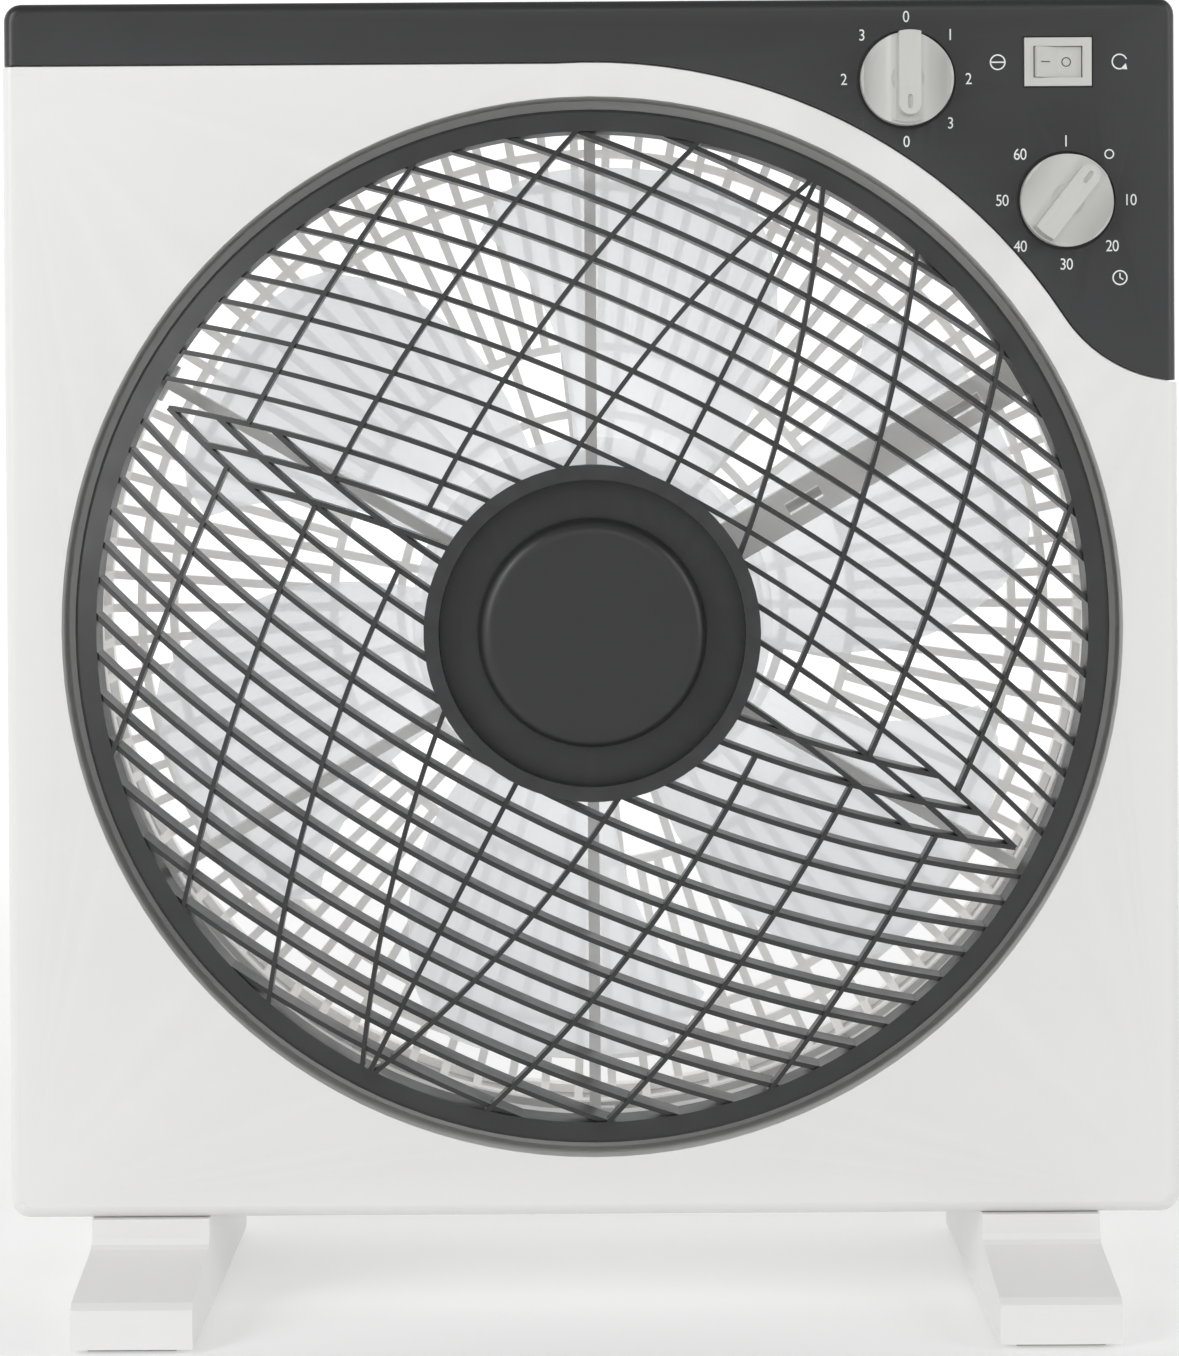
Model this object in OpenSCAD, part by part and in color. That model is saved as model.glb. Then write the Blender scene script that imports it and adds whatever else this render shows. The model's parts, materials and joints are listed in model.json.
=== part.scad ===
// Box fan: square housing, turning louver grille, six-blade impeller,
// dark control panel and two feet. Millimetres, +Z up, front towards -Y.
// Origin: centre of the footprint, on the surface that the feet rest on.

/* [Housing] */
// Width of the housing
body_w = 357; // [354:1:360]
// Height of the housing without its feet
body_h = 370.5; // [368:0.5:372]
// Depth of the housing
body_d = 118; // [116:1:124]
// Thickness of the housing walls
wall = 2.5; // [2:0.1:3]
// Radius of the round opening in the front
opening_r = 161.2; // [161:0.1:162]
// Radius of the arc that parts the dark panel from the front
seam_r = 171.6; // [171:0.1:173]
// Depth to which the dark panel wraps round the housing
panel_wrap = 26; // [26:1:30]

/* [Louver grille] */
// Outer radius of the ring
ring_r = 157.6; // [157:0.1:158.6]
// Distance between neighbouring slats
slat_pitch = 8.75; // [8.6:0.05:8.9]
// Thickness of a slat
slat_t = 1.5; // [1.2:0.1:2]
// Thickness of a cross rib
rib_t = 1.4; // [1.2:0.1:2]
// Height by which the middle of the grille bulges forward
dome_rise = 24.8; // [22:0.2:26]

/* [Impeller] */
// Radius of the blade tips
blade_r = 146.5; // [140:0.5:148]
// Radius of the impeller's hub
hub_r = 58; // [58:0.5:60]
// Number of blades
blade_count = 6; // [4:1:7]

/* [Rear grille] */
// Number of radial ribs
rear_ribs = 90; // [60:6:96]
// Width of ribs and rings
rear_bar = 2.8; // [2:0.1:3]

/* [Controls] */
// Radius of both knobs
knob_r = 14; // [13:0.1:15]
// Width of a knob's grip bar
grip_w = 6.6; // [6:0.1:8]
// Angle of the timer knob's bar from upright, clockwise
timer_rest = 38; // [0:1:60]
// Tilt of the rocker button either way
rocker_tilt = 8; // [5:1:9]

/* [Feet] */
// Height of the feet
foot_h = 29.3; // [29:0.1:34]
// How far the toes reach in front of the housing
toe_reach = 37; // [30:1:45]
// Width of a foot at its sole
foot_w = 35.7; // [32:0.1:40]

/* [Hidden] */
$fn = 96;
fine_fn = 240;

white = [0.90, 0.90, 0.89];
dark = [0.29, 0.29, 0.30];
cream = [0.86, 0.86, 0.82];
steel = [0.62, 0.63, 0.65];
brass = [0.72, 0.60, 0.34];
milky = [0.86, 0.89, 0.91, 0.6];
shade = [0.74, 0.73, 0.70];

gap = 0.3;
front_y = -(body_d - toe_reach) / 2;
fan_z = foot_h + 179.4;
body_cy = foot_h + body_h / 2 - fan_z;
body_top = body_cy + body_h / 2;
body_bottom = body_cy - body_h / 2;
side = body_w / 2;
split_t = 60;
corner_r = 6;
edge_r = 4;

// Throat of the front housing and the ledge that carries the bracket
throat_r = opening_r + wall;
ledge_r = 152.5;
lip_r = 1;
ledge_t = 13;
ledge_back = 16;

// Dark panel: a band along the top and a corner ended by a reverse arc
band_y = 171.3;
lobe = [180, 117];
lobe_r = norm(lobe) - seam_r;
panel_inset = 0.7;
boss_d = 6.4;
panel_boss_x = [-150, -60, 40];
side_boss_y = 95;

// Controls
speed_at = [96.1, 165.6];
timer_at = [144.4, 128.7];
rocker_at = [142, 170.7];
rocker_seat = 0.7;
shaft_r = 3;
shaft_hole_r = 3.06;
well_r = 15;
well_t = 1.2;

// Louver hub and its drive
louver_hub_r = 49.8;
louver_shaft_r = 3.5;
cup_r = 36.5;
cup_back = 40;
ear_x = 29.5;
case_r = 24.5;
cover_boss_r = 30;

// Fan motor
motor_r = 46;
motor_front = 62;
motor_split = 88;
motor_back = 108;
axle_r = 4;
lug_r = 50;
mount_r = 36;

// Rear housing and rear grille
rear_wall_r = 168.3;
rear_out_r = 170.8;
grille_t = 112;
grille_back = 116;
plate_back = 115.7;
basket_front = 81;
grille_screw_r = 165.6;
screw_x = 165.5;
screw_top = body_top - 12;
screw_low = body_bottom + 12;
floor_t = 56;
foot_out = 153.4;
foot_screw_x = 136;
foot_screw_t = [20, 68];

// Places in the fan's own frame: x to the right, y up, z = depth behind the front face
module fan_frame() {
    translate([0, front_y, fan_z]) rotate([-90, 0, 0]) mirror([0, 1, 0]) children();
}

module at_t(t) {
    translate([0, 0, t]) children();
}

module tube(t0, t1, r_out, r_in) {
    at_t(t0) difference() {
        cylinder(r = r_out, h = t1 - t0);
        at_t(-1) cylinder(r = r_in, h = t1 - t0 + 2);
    }
}

module rod(t0, t1, r) {
    at_t(t0) cylinder(r = r, h = t1 - t0);
}

module block(x0, x1, y0, y1, t0, t1) {
    translate([x0, y0, t0]) cube([x1 - x0, y1 - y0, t1 - t0]);
}

module polar(r, angle) {
    rotate([0, 0, angle]) translate([r, 0, 0]) children();
}

// Rectangle with round corners
module rounded_plan(w, h, r) {
    square([w - 2 * r, h], center = true);
    square([w, h - 2 * r], center = true);
    for (sx = [-1, 1], sy = [-1, 1])
        translate([sx * (w / 2 - r), sy * (h / 2 - r)]) circle(r);
}

// Disc whose lower rim is rounded
module round_puck(r, f) {
    rotate_extrude() intersection() {
        union() {
            square([r - f, f]);
            translate([r - f, f]) circle(f);
        }
        square([r, f]);
    }
}

// Block with round corners and a rounded rim round its face at z = 0
module rounded_block(w, h, d, r, f) {
    for (sx = [-1, 1], sy = [-1, 1])
        translate([sx * (w / 2 - r), sy * (h / 2 - r), 0]) round_puck(r, f);
    for (s = [-1, 1]) {
        translate([0, s * (h / 2 - f), f]) rotate([0, 90, 0]) cylinder(r = f, h = w - 2 * r, center = true);
        translate([s * (w / 2 - f), 0, f]) rotate([90, 0, 0]) cylinder(r = f, h = h - 2 * r, center = true);
    }
    at_t(f / 2) cube([w - 2 * r, h - 2 * f, f], center = true);
    at_t(f / 2) cube([w - 2 * f, h - 2 * r, f], center = true);
    at_t(f) linear_extrude(d - f) rounded_plan(w, h, r);
}

module body_block(inset, d) {
    translate([0, body_cy, 0])
        rounded_block(body_w - 2 * inset, body_h - 2 * inset, d, corner_r - inset, edge_r - inset / 2);
}

// Everything above and to the right of the seam, drawn back from it by g
module panel_area(g) {
    difference() {
        union() {
            translate([-side - 5, band_y + g]) square([body_w + 10, 30]);
            polygon([[0, 150], [0, 200], [side + 5, 200], [side + 5, lobe[1]], lobe,
                lobe * (seam_r / norm(lobe))]);
            translate(lobe) circle(lobe_r - g);
        }
        circle(seam_r + g, $fn = fine_fn);
        translate([-side - 10, -10]) square([side + 10, band_y + g + 10]);
    }
}

// Post with a pilot hole, tied to the side wall and to the top or bottom wall
module corner_post(sx, y, t0, t1, r) {
    wall_y = y > 0 ? body_top - wall : body_bottom + wall;
    translate([sx * screw_x, y, t0]) cylinder(r = r, h = t1 - t0);
    block(min(sx * screw_x, sx * (side - 1)), max(sx * screw_x, sx * (side - 1)), y - 1, y + 1, t0, t1);
    block(sx * screw_x - 1, sx * screw_x + 1, min(y, wall_y), max(y, wall_y), t0, t1);
}

module corner_places() {
    for (sx = [-1, 1], y = [screw_low, screw_top]) translate([sx * screw_x, y, 0]) children();
}

// Tab that reaches behind one of the panel's posts; +y is towards the wall
module panel_tab() {
    block(-6, 6, -6, boss_d - 1, 24.3, 29);
    block(-6, 6, boss_d - 1.5, boss_d + 1, panel_wrap + 0.9, 29);
}

module panel_places() {
    for (x = panel_boss_x) translate([x, body_top - wall - boss_d, 0]) children();
    translate([side - wall - boss_d, side_boss_y, 0]) rotate([0, 0, -90]) children();
}

module foot_screw_places() {
    for (sx = [-1, 1], t = foot_screw_t) translate([sx * foot_screw_x, body_bottom, t]) children();
}

module front_housing() color(white) fan_frame() {
    difference() {
        union() {
            difference() {
                body_block(0, split_t);
                translate([0, body_cy, 3])
                    rounded_block(body_w - 2 * wall, body_h - 2 * wall, split_t, corner_r - wall, 1.5);
                rod(-1, 10, opening_r);
                at_t(-1) linear_extrude(panel_wrap + gap + 1) panel_area(-gap);
                rotate_extrude($fn = fine_fn) translate([opening_r - 0.1, -0.1]) difference() {
                    square(lip_r + 0.1);
                    translate([lip_r + 0.1, lip_r + 0.1]) circle(lip_r);
                }
            }
            tube(0, split_t, throat_r, opening_r);
            tube(ledge_t, ledge_back, throat_r - 1, ledge_r);
            // Strip that backs the seam
            at_t(2.9) linear_extrude(2.3) difference() {
                intersection() {
                    translate([0, body_cy]) square([body_w - 2 * wall - 2, body_h - 2 * wall - 2], true);
                    panel_area(-7.5);
                }
                panel_area(0.4);
            }
            // Floor of the control compartment
            at_t(floor_t) linear_extrude(wall) difference() {
                intersection() {
                    translate([0, body_cy]) square([body_w - 2, body_h - 2], center = true);
                    translate([62, 78]) square([130, 130]);
                }
                circle(throat_r - 1);
            }
            panel_places() panel_tab();
            for (sx = [-1, 1], y = [screw_low, screw_top]) corner_post(sx, y, 30, split_t, 5);
            for (sx = [-1, 1]) translate([sx * foot_screw_x, body_bottom + 1, foot_screw_t[0]])
                rotate([-90, 0, 0]) cylinder(r = 5, h = 14);
        }
        corner_places() rod(38, split_t + 1, 1.95);
        panel_places() rod(20, 30, 1.7);
        for (a = [30:60:330]) polar(157.5, a) rod(ledge_t - 1, ledge_back + 1, 1.65);
        for (sx = [-1, 1]) translate([sx * foot_screw_x, body_bottom - 1, foot_screw_t[0]])
            rotate([-90, 0, 0]) cylinder(r = 1.85, h = 14);
        // Ways for the louver lead and the fan motor lead
        polar(155, 30) at_t(23) rotate([0, 90, 0]) cylinder(r = 2.5, h = 14);
        polar(176.5, 30.7) rod(floor_t - 1, floor_t + wall + 1, 3.2);
    }
}

module control_panel() color(dark) fan_frame() {
    difference() {
        union() {
            difference() {
                intersection() {
                    body_block(panel_inset, panel_wrap);
                    linear_extrude(panel_wrap) panel_area(gap);
                }
                translate([0, body_cy, wall]) rounded_block(body_w - 2 * panel_inset - 2 * wall,
                    body_h - 2 * panel_inset - 2 * wall, panel_wrap, corner_r - panel_inset - wall, 1.5);
            }
            panel_places() rod(wall - 0.5, 24, 3.6);
        }
        panel_places() rod(8, 25, 1.4);
        for (at = [speed_at, timer_at]) translate(at) {
            rod(-1, wall + 1, 4.9);
            rod(-1, well_t, well_r);
        }
        translate(rocker_at) {
            cube([19, 13.4, 12], center = true);
            block(-10.6, 10.6, -7.75, 7.75, -1, rocker_seat);
        }
    }
}

module rear_shell() {
    at_t(body_d) mirror([0, 0, 1]) body_block(0, body_d - split_t - gap);
}

module rear_housing() color(white) fan_frame() {
    difference() {
        union() {
            difference() {
                rear_shell();
                translate([0, body_cy, body_d - wall]) mirror([0, 0, 1])
                    rounded_block(body_w - 2 * wall, body_h - 2 * wall, body_d, corner_r - wall, 1.5);
                rod(body_d - 10, body_d + 1, rear_wall_r);
            }
            tube(split_t + gap, body_d - 1, rear_out_r, rear_wall_r);
            tube(split_t + gap, split_t + 2.8, rear_out_r - 1, 162);
            tube(basket_front - 3, basket_front, rear_wall_r + 1, 163);
            for (sx = [-1, 1], y = [screw_low, screw_top]) corner_post(sx, y, split_t + gap, body_d - 1, 7);
            for (sx = [-1, 1]) translate([sx * foot_screw_x, body_bottom + 1, foot_screw_t[1]])
                rotate([-90, 0, 0]) cylinder(r = 5, h = 14);
            // Walls of the grip recess and the seat of the cord gland
            block(-55, 55, 171, body_top - 1, 87.5, body_d - 1);
            translate([150, -140, 0]) rod(body_d - 5, body_d - 1, 12);
        }
        block(-52.5, 52.5, 173.5, 184, 90, body_d + 1);
        corner_places() rod(split_t - 1, body_d + 1, 2.1);
        corner_places() rod(70, body_d + 1, 4.5);
        for (sx = [-1, 1]) translate([sx * foot_screw_x, body_bottom - 1, foot_screw_t[1]])
            rotate([-90, 0, 0]) cylinder(r = 1.85, h = 14);
        for (a = [0:60:300]) polar(grille_screw_r, a) rod(basket_front - 4, basket_front + 1, 1.6);
        translate([150, -140, 0]) rod(body_d - 2, body_d + 1, 9.1);
        translate([150, -140, 0]) rod(body_d - 12, body_d + 1, 5.05);
        // Way for the fan motor lead
        polar(160, 29) at_t(72) rotate([0, 90, 0]) cylinder(r = 2.5, h = 14);
    }
}

// One rib of the rear grille: radial on the back, then forward along the wall
module rear_rib(r0) {
    rotate([90, 0, 0]) translate([0, 0, -rear_bar / 2]) linear_extrude(rear_bar)
        polygon([[r0, grille_t], [164.7, grille_t], [164.7, basket_front + 2], [167.5, basket_front + 2],
            [167.5, grille_back], [r0, grille_back]]);
}

module rear_grille() color(shade) fan_frame() {
    difference() {
        union() {
            for (i = [0:rear_ribs - 1])
                rotate([0, 0, i * 360 / rear_ribs]) rear_rib(i % 3 == 0 ? 51 : 88.2);
            for (r = [66, 89, 144, 155])
                tube(grille_t + 0.4, grille_back - 0.4, r + rear_bar / 2, r - rear_bar / 2);
            tube(grille_t - 0.3, grille_back + 0.2, 167.9, 165.2);
            tube(basket_front, basket_front + 4, 167.9, 163.2);
            rod(grille_t - 2, plate_back, 52);
        }
        for (a = [0:60:300]) polar(grille_screw_r, a) rod(basket_front - 1, basket_front + 5, 1.25);
        for (a = [45:90:315]) polar(mount_r, a) rod(grille_t - 3, grille_back + 1, 2.2);
        rod(grille_t - 3, grille_back + 1, 12);
    }
}

module louver_bracket() color(shade) fan_frame() {
    wide = 13;
    difference() {
        union() {
            rod(ledge_back, 19, cup_r);
            tube(ledge_back, cup_back, cup_r, cup_r - wall);
            for (s = [-1, 1]) translate([s * ear_x, 0, 0]) rod(18, 22, 4.2);
            for (a = [90, 210, 330]) polar(cover_boss_r, a) rod(18, cup_back, 3.5);
            for (a = [90:60:330]) rotate([0, 0, a]) {
                block(35, 152, -1.75, 1.75, ledge_back, 24);
                block(150, 160.6, -6, 6, ledge_back, 19);
            }
            rotate([0, 0, 30]) {
                block(35, 160.6, -wide / 2, wide / 2, ledge_back, 18.3);
                for (s = [-1, 1]) translate([0, s * (wide / 2 - 0.8), 0])
                    block(35, 152, -0.8, 0.8, ledge_back, 24);
                block(150, 160.6, -wide / 2, wide / 2, ledge_back, 19);
            }
        }
        rod(ledge_back - 1, 20, 6.3);
        for (s = [-1, 1]) translate([s * ear_x, 0, 0]) rod(17.5, 23, 1.3);
        for (a = [90, 210, 330]) polar(cover_boss_r, a) rod(30, cup_back + 1, 1.3);
        for (a = [30:60:330]) polar(157.5, a) rod(ledge_back - 1, 20, 1.8);
        // Way for the louver lead and the two slots in the wide arm
        rotate([0, 0, 30]) {
            block(30, 40, -3, 3, 19.5, 26);
            block(70, 82, -2, 2, ledge_back - 1, 20);
            block(126, 139, -2, 2, ledge_back - 1, 20);
        }
    }
}

// Side outline of a foot: depth behind the front face, height above the sole
foot_outline = [[0, foot_h], [0, 23.5], [-0.8, 21.8], [-2.6, 20.8], [-6, 20], [-toe_reach + 7, 15.6],
    [-toe_reach + 2.5, 14.6], [-toe_reach + 0.5, 12.9], [-toe_reach, 10.5], [-toe_reach, 1.5],
    [90, 1.5], [90, foot_h]];

module foot(sx) {
    middle = sx * (foot_out - foot_w / 2);
    difference() {
        union() {
            difference() {
                translate([middle - foot_w / 2, front_y, 0]) rotate([90, 0, 90])
                    linear_extrude(foot_w) polygon(foot_outline);
                translate([middle - foot_w / 2 + 3, front_y + 5, 0]) cube([foot_w - 6, 50, foot_h - 4]);
            }
            translate([sx * foot_screw_x, front_y + foot_screw_t[0], 1.5]) cylinder(r = 7.5, h = foot_h - 3);
        }
        for (t = foot_screw_t) translate([sx * foot_screw_x, front_y + t, 0]) {
            translate([0, 0, -1]) cylinder(r = 5, h = 19);
            cylinder(r = 2.1, h = foot_h + 1);
        }
    }
}

module foot_left() color(white) foot(-1);

module foot_right() color(white) foot(1);

module foot_pads() color(dark) {
    for (sx = [-1, 1]) {
        translate([sx * foot_screw_x - 13, front_y - 33, 0]) cube([26, 20, 1.5]);
        translate([sx * foot_screw_x - 13, front_y + 75, 0]) cube([26, 8, 1.5]);
    }
}

module motor_front_shell() color(steel) fan_frame() {
    difference() {
        union() {
            rod(motor_front, motor_front + wall, motor_r);
            tube(motor_front, motor_split, motor_r, motor_r - wall);
            rod(motor_front, 71.5, 10);
            for (a = [0:90:270]) rotate([0, 0, a]) {
                polar(lug_r, 0) rod(motor_split - 2.5, motor_split, 4.3);
                block(44, lug_r, -4.3, 4.3, motor_split - 2.5, motor_split);
            }
        }
        rod(motor_front - 1, 72, 7.5);
        for (a = [0:90:270]) polar(lug_r, a) rod(motor_split - 3, motor_split + 1, 1.55);
        for (a = [15:30:345]) polar(30, a) rod(motor_front - 1, motor_front + wall + 1, 3.2);
    }
}

module motor_rear_shell() color(steel) fan_frame() {
    difference() {
        union() {
            rod(motor_back - wall, motor_back, motor_r);
            tube(motor_split, motor_back, motor_r, motor_r - wall);
            rod(98.5, motor_back, 10);
            for (a = [0:90:270]) rotate([0, 0, a]) {
                polar(lug_r, 0) rod(motor_split, motor_split + 2.5, 4.3);
                block(44, lug_r, -4.3, 4.3, motor_split, motor_split + 2.5);
            }
            for (a = [45:90:315]) polar(mount_r, a) rod(motor_back - 1, grille_t - 2, 5);
        }
        rod(98, motor_back - 1, 7.5);
        for (a = [0:90:270]) polar(lug_r, a) rod(motor_split - 1, motor_split + 3, 1.8);
        for (a = [45:90:315]) polar(mount_r, a) rod(motor_back - 4, grille_t, 1.6);
        polar(40, 23.6) at_t(102.5) rotate([0, 90, 0]) cylinder(r = 2.2, h = 10);
    }
}

module stator_core() color(steel) fan_frame() {
    difference() {
        rod(74, 98, 43.4);
        rod(73, 99, 22.5);
        for (a = [0:22.5:337.5]) polar(31, a) rod(73, 99, 4.2);
    }
}

module stator_coils() color([0.72, 0.38, 0.20]) fan_frame() {
    tube(67, 74, 39, 24.5);
    tube(98, 104.5, 38.5, 24.5);
    for (a = [0:22.5:337.5]) polar(31, a) rod(73.5, 98.5, 4);
}

module bearing_front() color(brass) fan_frame() tube(62.3, 71.3, 7.45, axle_r + 0.05);

module bearing_rear() color(brass) fan_frame() tube(99, motor_back - 1.2, 7.45, axle_r + 0.05);

module motor_tie_screws() color(steel) fan_frame() {
    for (a = [0:90:270]) polar(lug_r, a) {
        rod(motor_split + 2.5, motor_split + 4.7, 3);
        rod(motor_split - 4, motor_split + 3, 1.5);
    }
}

module motor_mount_screws() color(steel) fan_frame() {
    for (a = [45:90:315]) polar(mount_r, a) {
        rod(plate_back, plate_back + 1.8, 3.6);
        rod(motor_back - 3, plate_back + 0.5, 1.55);
    }
}

module louver_motor_case() color(steel) fan_frame() {
    difference() {
        union() {
            rod(22, 37, case_r);
            rod(19.6, 22.5, 6);
            hull() for (s = [-1, 1]) translate([s * ear_x, 0, 0]) rod(22, 23.2, 4.2);
        }
        rod(18, 34, louver_shaft_r + 0.06);
        for (s = [-1, 1]) translate([s * ear_x, 0, 0]) rod(21, 25, 1.6);
    }
}

module louver_motor_cover() color(shade) fan_frame() {
    difference() {
        rod(cup_back, cup_back + 2, cup_r);
        for (a = [90, 210, 330]) polar(cover_boss_r, a) rod(cup_back - 1, cup_back + 3, 1.6);
    }
}

module louver_motor_screws() color(steel) fan_frame() {
    for (s = [-1, 1]) translate([s * ear_x, 0, 0]) {
        rod(23.2, 25, 2.6);
        rod(17.8, 24, 1.25);
    }
}

module cover_screws() color(steel) fan_frame() {
    for (a = [90, 210, 330]) polar(cover_boss_r, a) {
        rod(cup_back + 2, cup_back + 3.6, 2.6);
        rod(32, cup_back + 3, 1.25);
    }
}

module switch_body(at, w, t1, color_of) {
    color(color_of) fan_frame() translate(at) difference() {
        union() {
            block(-w / 2, w / 2, -w / 2, w / 2, wall, t1);
            rod(-0.8, wall + 1, 4.7);
        }
        rod(-2, t1 - 4, shaft_hole_r);
    }
}

module speed_switch() {
    switch_body(speed_at, 28, 25, [0.20, 0.20, 0.22]);
}

module timer_case() {
    switch_body(timer_at, 30, 39, [0.80, 0.79, 0.74]);
}

module shaft_nut(at) {
    color(steel) fan_frame() translate([at[0], at[1], well_t]) difference() {
        at_t(-1.8) cylinder(r = 7.5, h = 1.8, $fn = 6);
        rod(-3, 1, 4.75);
    }
}

module speed_switch_nut() {
    shaft_nut(speed_at);
}

module timer_nut() {
    shaft_nut(timer_at);
}

// Knob with a raised grip bar between two scoops; the bar points along +y
module knob(at, turn) {
    pointer = knob_r - 2.3 - grip_w / 2;
    color(cream) fan_frame() translate([at[0], at[1], well_t]) rotate([0, 0, -turn]) difference() {
        union() {
            difference() {
                union() {
                    rod(-4.6, -0.6, knob_r);
                    rod(-5.6, -4, knob_r - 0.8);
                }
                for (s = [-1, 1]) translate([s * (grip_w / 2 + 5.6), 0, -10.2]) rotate([90, 0, 0])
                    cylinder(r = 7, h = 2 * knob_r + 2, center = true);
            }
            rod(-5.4, -1, 5);
            intersection() {
                union() {
                    block(-grip_w / 2, grip_w / 2, -knob_r, pointer, -12.5, -3);
                    translate([0, pointer, 0]) rod(-12.5, -3, grip_w / 2);
                }
                rod(-14, -2, knob_r - 0.4);
            }
        }
        rod(-2.6, 0, 9.5);
        rod(-5.8, 0, shaft_r + 0.03);
        block(-0.7, 0.7, pointer - 2, pointer + 0.8, -13, -11.9);
        for (y = [pointer - 2, pointer + 0.8]) translate([0, y, 0]) rod(-13, -11.9, 0.7);
    }
}

module speed_knob() {
    knob(speed_at, 180);
}

module timer_knob() {
    knob(timer_at, timer_rest);
}

module knob_shaft(at, t1) {
    color(steel) fan_frame() translate(at) rod(well_t - 5.6, t1, shaft_r);
}

module speed_shaft() {
    knob_shaft(speed_at, 20.5);
}

module timer_shaft() {
    knob_shaft(timer_at, 34.5);
}

rocker_pivot_t = 1;
rocker_swing_r = 7.3;
rocker_front = 1.4;
rocker_rise = rocker_swing_r * tan(rocker_tilt);

module rocker_frame() color(cream) fan_frame() translate(rocker_at) at_t(rocker_seat) difference() {
    union() {
        block(-10.15, 10.15, -7.3, 7.3, -1.4, 0);
        block(-9.3, 9.3, -6.5, 6.5, -0.5, 18);
    }
    block(-7.45, 7.45, -4.75, 4.75, -2, 13);
    at_t(rocker_pivot_t) rotate([90, 0, 0]) cylinder(r = 1.26, h = 11.5, center = true);
}

module rocker_button() color(cream) fan_frame() translate(rocker_at) at_t(rocker_seat + rocker_pivot_t)
    rotate([0, -rocker_tilt, 0]) {
        rotate([90, 0, 0]) translate([0, 0, -4.6]) linear_extrude(9.2) intersection() {
            circle(rocker_swing_r);
            polygon([[-rocker_swing_r, -rocker_front - rocker_rise], [0, -rocker_front],
                [rocker_swing_r, -rocker_front - rocker_rise], [rocker_swing_r, 2], [3, 4.5], [-3, 4.5],
                [-rocker_swing_r, 2]]);
        }
        rotate([90, 0, 0]) cylinder(r = 1.2, h = 11, center = true);
    }

module capacitor() color([0.25, 0.27, 0.30]) fan_frame() {
    block(112, 148, 150, 166, 42, floor_t);
}

module terminal_block() color([0.85, 0.85, 0.80]) fan_frame() difference() {
    block(84, 112, 154, 164, 46, floor_t);
    for (x = [88:5:108]) translate([x, 159, 0]) rod(45, 50, 1.8);
}

module cord_gland() color(dark) fan_frame() translate([150, -140, 0]) difference() {
    union() {
        rod(body_d - 2, body_d, 9);
        rod(body_d - 11, body_d - 1, 5);
    }
    rod(body_d - 12, body_d + 1, 3.6);
}

// Tube swept along a route of points, always pushed forward along the route
function unit(v) = v / norm(v);
function heading(route, i) = unit(route[min(i + 1, len(route) - 1)] - route[max(i - 1, 0)]);
function cross_dir(d) = unit(cross(d, abs(d[2]) > 0.9 ? [1, 0, 0] : [0, 0, 1]));
function carried(prev, d) = unit(prev - (prev * d) * d);
function frames(route, i, prev) = i >= len(route) ? [] :
    let (n = carried(prev, heading(route, i))) concat([n], frames(route, i + 1, n));
function bend_point(a, b, c, u) =
    (1 - u) * (1 - u) * (a + b) / 2 + 2 * u * (1 - u) * b + u * u * (b + c) / 2;
function smooth(p) = concat([p[0]],
    [for (i = [1:len(p) - 2], u = [0, 0.34, 0.67]) bend_point(p[i - 1], p[i], p[i + 1], u)],
    [(p[len(p) - 2] + p[len(p) - 1]) / 2, p[len(p) - 1]]);
lead_sides = 8;

module lead(points, r) {
    route = smooth(points);
    rows = len(route);
    normals = frames(route, 0, cross_dir(heading(route, 0)));
    rings = [for (i = [0:rows - 1]) let (n = normals[i], b = cross(heading(route, i), n))
        for (k = [0:lead_sides - 1]) let (a = k * 360 / lead_sides) route[i] + r * (cos(a) * n + sin(a) * b)];
    walls = [for (i = [0:rows - 2], k = [0:lead_sides - 1]) let (j = (k + 1) % lead_sides)
        [i * lead_sides + k, (i + 1) * lead_sides + k, (i + 1) * lead_sides + j, i * lead_sides + j]];
    first_end = [[for (k = [0:lead_sides - 1]) k]];
    last_end = [[for (k = [0:lead_sides - 1]) rows * lead_sides - 1 - k]];
    polyhedron(rings, concat(first_end, walls, last_end));
}

supply_route = [[150, -140, 106], [150, -140, 70], [151, -135, 44], [162, -110, 40], [169.4, -84, 40],
    [169.4, -64, 40], [169.4, 0, 40], [169.4, 60, 40], [169.4, 84, 40], [169.4, 110, 47],
    [166, 134, 48], [154, 150, 48], [154, 166, 49], [146, 173, 49], [120, 173, 49], [103, 173, 49],
    [98, 170, 51], [98, 164.3, 51]];
fan_motor_route = [[36, 15.7, 102.5], [45.5, 19.9, 102.5], [52, 24, 107.5], [60, 29, 108.5],
    [110, 58, 108.5], [131, 70, 106], [133.8, 73.2, 90], [133.8, 74.2, 76], [136, 75.4, 72],
    [154.6, 85.7, 72], [152, 90.4, 64], [151.8, 90.1, 50], [148, 112, 52], [134, 124, 52],
    [117, 139, 51], [104, 146, 51], [92, 149, 51], [92, 153.7, 51]];
louver_motor_route = [[22.2, 12.8, 30], [25, 14.4, 29], [28, 16.2, 24], [33, 19, 21.5], [50, 28.9, 21.5],
    [90, 52, 21.5], [120, 69.3, 22.5], [136, 78.5, 23], [148, 85.4, 23], [151, 92, 30], [149, 104, 46],
    [138, 115, 48], [126, 128, 47], [112, 142, 46.5], [103, 148, 48], [103, 153.7, 49]];
lead_r = 1.5;
supply_r = 2;

module supply_lead() color(shade) fan_frame() lead(supply_route, supply_r);

module fan_motor_lead() color(shade) fan_frame() lead(fan_motor_route, lead_r);

module louver_motor_lead() color(shade) fan_frame() lead(louver_motor_route, lead_r);

module lead_clips() color(white) fan_frame() {
    for (y = [-50, 0, 50]) difference() {
        block(166.7, side - wall, y - 4, y + 4, 36.5, 43.5);
        translate([169.4, y, 40]) rotate([90, 0, 0]) cylinder(r = supply_r + 0.3, h = 10, center = true);
    }
}

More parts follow.
